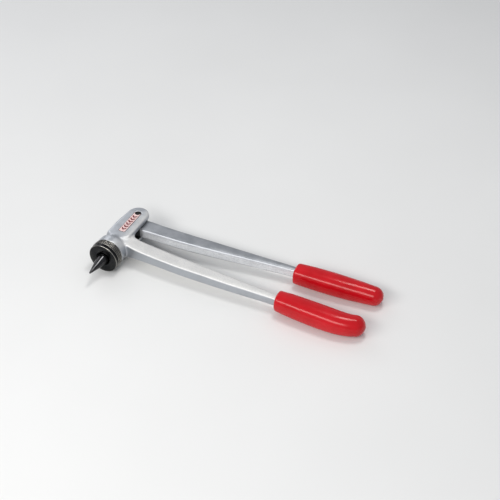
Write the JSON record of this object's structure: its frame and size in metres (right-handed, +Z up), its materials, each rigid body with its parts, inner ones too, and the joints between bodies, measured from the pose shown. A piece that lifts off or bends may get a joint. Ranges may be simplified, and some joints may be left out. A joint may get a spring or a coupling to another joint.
{
  "type": "hand tube expander",
  "caption": "Two-handled tube expander: squeezing the long handles turns a cam that drives a tapered mandrel out of a threaded nose.",
  "frame": {"origin": "centre of the threaded nose's front face, on the mandrel's axis", "axes": "+X along the handles towards their grips, +Y from the nose back towards the pivot, +Z up from the side the tool lies on, parallel to the pivot pin"},
  "size_m": [0.3126, 0.1118, 0.035],
  "materials": {
    "cast_aluminium": "satin, fine cast grain",
    "lever_aluminium": "satin, fine cast grain",
    "black_steel": "black oxide, oiled, satin",
    "mandrel_steel": "black oxide, polished",
    "bright_steel": "ground",
    "spring_steel": "oiled",
    "bronze": "sintered",
    "nitrile": "matt",
    "red_vinyl": "dipped, glossy",
    "label_film": "printed red and white, glossy"
  },
  "bodies": {
    "housing": {"body_casting": "cast_aluminium", "threaded_nose": "black_steel", "nose_lock_screw": "black_steel", "nose_guide_bush": "bronze", "nose_wiper_ring": "nitrile", "spring_washer": "bright_steel", "return_spring": "spring_steel", "pivot_pin": "black_steel", "pin_retaining_ring": "spring_steel", "label_plate": "label_film", "fixed_grip": "red_vinyl"},
    "mandrel": {"mandrel_cone": "mandrel_steel", "mandrel_cross_pin": "spring_steel", "push_rod": "bright_steel", "roller_pin": "bright_steel"},
    "roller": {"cam_roller": "bright_steel"},
    "lever": {"lever": "lever_aluminium", "lever_bush": "bronze", "upper_thrust_washer": "bright_steel", "lower_thrust_washer": "bright_steel", "lever_grip": "red_vinyl"}
  },
  "joints": [
    {"name": "lever_hinge", "type": "hinge", "parent": "housing", "child": "lever", "pos_m": [0.0022, 0.0725, 0], "axis": [0, 0, 1], "range_deg": [0, 70]},
    {"name": "mandrel_slide", "type": "slide", "parent": "housing", "child": "mandrel", "axis": [0, 1, 0], "range_m": [0, 0.00801], "deforming": ["return_spring"]},
    {"name": "roller_spin", "type": "hinge", "parent": "mandrel", "child": "roller", "pos_m": [0, 0.05, 0], "axis": [0, 0, 1], "continuous": true}
  ],
  "couplings": [
    {"joint": "mandrel_slide", "follows": "lever_hinge", "m_per_rad": 0.0065481}
  ]
}
